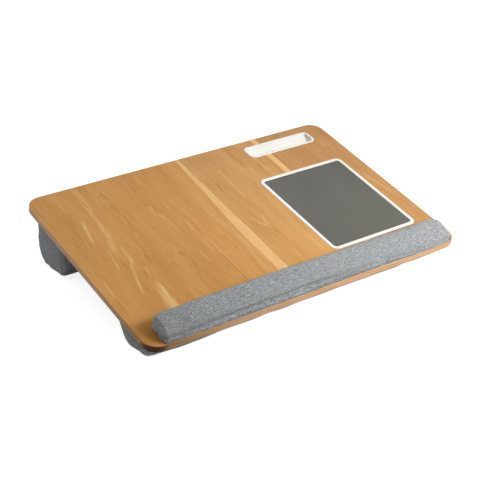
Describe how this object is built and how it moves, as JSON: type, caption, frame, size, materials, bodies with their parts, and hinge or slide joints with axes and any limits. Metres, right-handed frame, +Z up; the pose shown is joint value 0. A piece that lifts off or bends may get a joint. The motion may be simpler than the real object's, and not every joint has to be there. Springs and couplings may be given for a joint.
{
  "type": "lap desk",
  "caption": "Sloped lap desk: a veneered board on padded bolsters, with a padded wrist rest along the front, an inset mouse pad and a moulded phone slot.",
  "frame": {"origin": "bottom centre of the overall box, on the floor that the bolsters stand on", "axes": "+X to the user's right along the long side, +Y from the user towards the high back edge, +Z up"},
  "size_m": [0.56, 0.3682, 0.0972],
  "materials": {
    "wood_veneer": "satin",
    "edge_wood": "satin",
    "fibreboard": "matte",
    "underside_laminate": "matte",
    "white_plastic": "satin",
    "pad_leather": "matte",
    "heather_cloth": "matte",
    "foam": "matte",
    "adhesive": "matte"
  },
  "bodies": {
    "root": {"board_core": "fibreboard", "top_veneer": "wood_veneer", "underside_sheet": "underside_laminate", "edge_band": "edge_wood", "mouse_pad_frame": "white_plastic", "mouse_pad_sheet": "pad_leather", "mouse_pad_adhesive": "adhesive", "phone_tray": "white_plastic", "phone_tray_tape": "adhesive", "wrist_rest_cover": "heather_cloth", "wrist_rest_end_left": "heather_cloth", "wrist_rest_end_right": "heather_cloth", "wrist_rest_foam": "foam", "wrist_rest_base": "fibreboard", "wrist_rest_tape": "adhesive", "rear_bolster_cover": "heather_cloth", "rear_bolster_end_left": "heather_cloth", "rear_bolster_end_right": "heather_cloth", "rear_bolster_fill": "foam", "rear_bolster_tape": "adhesive", "front_bolster_cover": "heather_cloth", "front_bolster_end_left": "heather_cloth", "front_bolster_end_right": "heather_cloth", "front_bolster_fill": "foam", "front_bolster_tape": "adhesive"}
  },
  "joints": []
}
